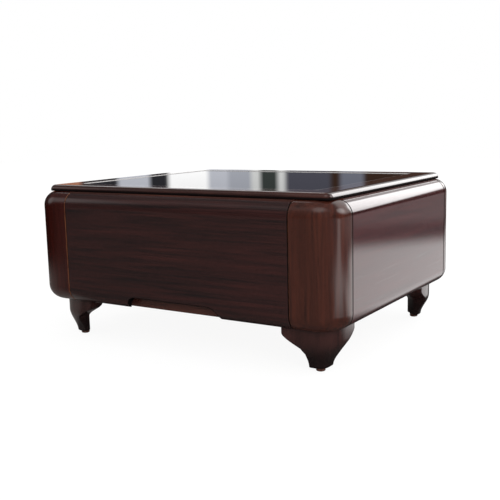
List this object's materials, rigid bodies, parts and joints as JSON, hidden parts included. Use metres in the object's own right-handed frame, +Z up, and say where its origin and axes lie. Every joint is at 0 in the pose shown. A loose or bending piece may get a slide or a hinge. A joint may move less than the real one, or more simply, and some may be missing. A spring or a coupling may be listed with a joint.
{
  "type": "low mahjong table with drawers",
  "caption": "Low lacquered wood game table: black glass in a mitred top frame, rounded corner posts, bracket feet, and drawers that pull out on telescopic slides.",
  "frame": {"origin": "on the floor, under the middle of the table", "axes": "+Z up; +X along the table's long side; -Y out of the front drawer"},
  "size_m": [0.9, 0.75, 0.412],
  "materials": {
    "lacquered_wood": "high gloss lacquer on mahogany stain",
    "dark_lacquered_wood": "gloss lacquer on a darker stain",
    "carcass_wood": "planed, unfinished",
    "plywood": "plywood, sanded",
    "drawer_wood": "clear matt varnish",
    "black_glass": "polished, black painted back",
    "zinc_steel": "bright zinc plate",
    "brown_plastic": "moulded",
    "clear_rubber": "soft, matt"
  },
  "bodies": {
    "table": {"top_frame_front_rail": "lacquered_wood", "top_frame_right_stile": "lacquered_wood", "top_frame_back_rail": "lacquered_wood", "top_frame_left_stile": "lacquered_wood", "mitre_splines": "carcass_wood", "glass_panel": "black_glass", "glass_backing_board": "plywood", "glass_pads": "clear_rubber", "front_right_post": "lacquered_wood", "front_left_post": "lacquered_wood", "back_right_post": "lacquered_wood", "back_left_post": "lacquered_wood", "right_side_panel": "lacquered_wood", "left_side_panel": "lacquered_wood", "front_top_rail": "carcass_wood", "back_top_rail": "carcass_wood", "front_bottom_rail": "lacquered_wood", "back_bottom_rail": "lacquered_wood", "top_cleats": "carcass_wood", "bottom_cleats": "carcass_wood", "bottom_board": "plywood", "centre_partition": "plywood", "right_slide_batten": "carcass_wood", "left_slide_batten": "carcass_wood", "corner_blocks": "carcass_wood", "carcass_dowels": "carcass_wood", "carcass_screws": "zinc_steel", "front_right_foot": "dark_lacquered_wood", "front_left_foot": "dark_lacquered_wood", "back_right_foot": "dark_lacquered_wood", "back_left_foot": "dark_lacquered_wood", "foot_bolts": "zinc_steel", "glides": "brown_plastic", "glide_nails": "zinc_steel", "drawer_bumpers": "clear_rubber", "slide_cabinet_members": "zinc_steel"},
    "front_drawer": {"front_drawer_front": "lacquered_wood", "front_drawer_inner_front": "drawer_wood", "front_drawer_right_side": "drawer_wood", "front_drawer_left_side": "drawer_wood", "front_drawer_back": "drawer_wood", "front_drawer_bottom": "plywood", "front_drawer_screws": "zinc_steel", "front_slide_drawer_members": "zinc_steel"},
    "front_slide_middle": {"front_slide_middle_members": "zinc_steel"},
    "front_outer_cages": {"front_slide_outer_ball_cages": "zinc_steel"},
    "front_inner_cages": {"front_slide_inner_ball_cages": "zinc_steel"},
    "back_drawer": {"back_drawer_front": "lacquered_wood", "back_drawer_inner_front": "drawer_wood", "back_drawer_right_side": "drawer_wood", "back_drawer_left_side": "drawer_wood", "back_drawer_back": "drawer_wood", "back_drawer_bottom": "plywood", "back_drawer_screws": "zinc_steel", "back_slide_drawer_members": "zinc_steel"},
    "back_slide_middle": {"back_slide_middle_members": "zinc_steel"},
    "back_outer_cages": {"back_slide_outer_ball_cages": "zinc_steel"},
    "back_inner_cages": {"back_slide_inner_ball_cages": "zinc_steel"}
  },
  "joints": [
    {"name": "front_drawer_slide", "type": "slide", "parent": "table", "child": "front_drawer", "axis": [0, -1, 0], "range_m": [0, 0.28]},
    {"name": "front_slide_middle_slide", "type": "slide", "parent": "table", "child": "front_slide_middle", "axis": [0, -1, 0], "range_m": [0, 0.14]},
    {"name": "front_outer_cages_slide", "type": "slide", "parent": "table", "child": "front_outer_cages", "axis": [0, -1, 0], "range_m": [0, 0.07]},
    {"name": "front_inner_cages_slide", "type": "slide", "parent": "table", "child": "front_inner_cages", "axis": [0, -1, 0], "range_m": [0, 0.21]},
    {"name": "back_drawer_slide", "type": "slide", "parent": "table", "child": "back_drawer", "axis": [0, 1, 0], "range_m": [0, 0.28]},
    {"name": "back_slide_middle_slide", "type": "slide", "parent": "table", "child": "back_slide_middle", "axis": [0, 1, 0], "range_m": [0, 0.14]},
    {"name": "back_outer_cages_slide", "type": "slide", "parent": "table", "child": "back_outer_cages", "axis": [0, 1, 0], "range_m": [0, 0.07]},
    {"name": "back_inner_cages_slide", "type": "slide", "parent": "table", "child": "back_inner_cages", "axis": [0, 1, 0], "range_m": [0, 0.21]}
  ],
  "couplings": [
    {"joint": "front_slide_middle_slide", "follows": "front_drawer_slide", "ratio": 0.5},
    {"joint": "front_outer_cages_slide", "follows": "front_drawer_slide", "ratio": 0.25},
    {"joint": "front_inner_cages_slide", "follows": "front_drawer_slide", "ratio": 0.75},
    {"joint": "back_slide_middle_slide", "follows": "back_drawer_slide", "ratio": 0.5},
    {"joint": "back_outer_cages_slide", "follows": "back_drawer_slide", "ratio": 0.25},
    {"joint": "back_inner_cages_slide", "follows": "back_drawer_slide", "ratio": 0.75}
  ]
}
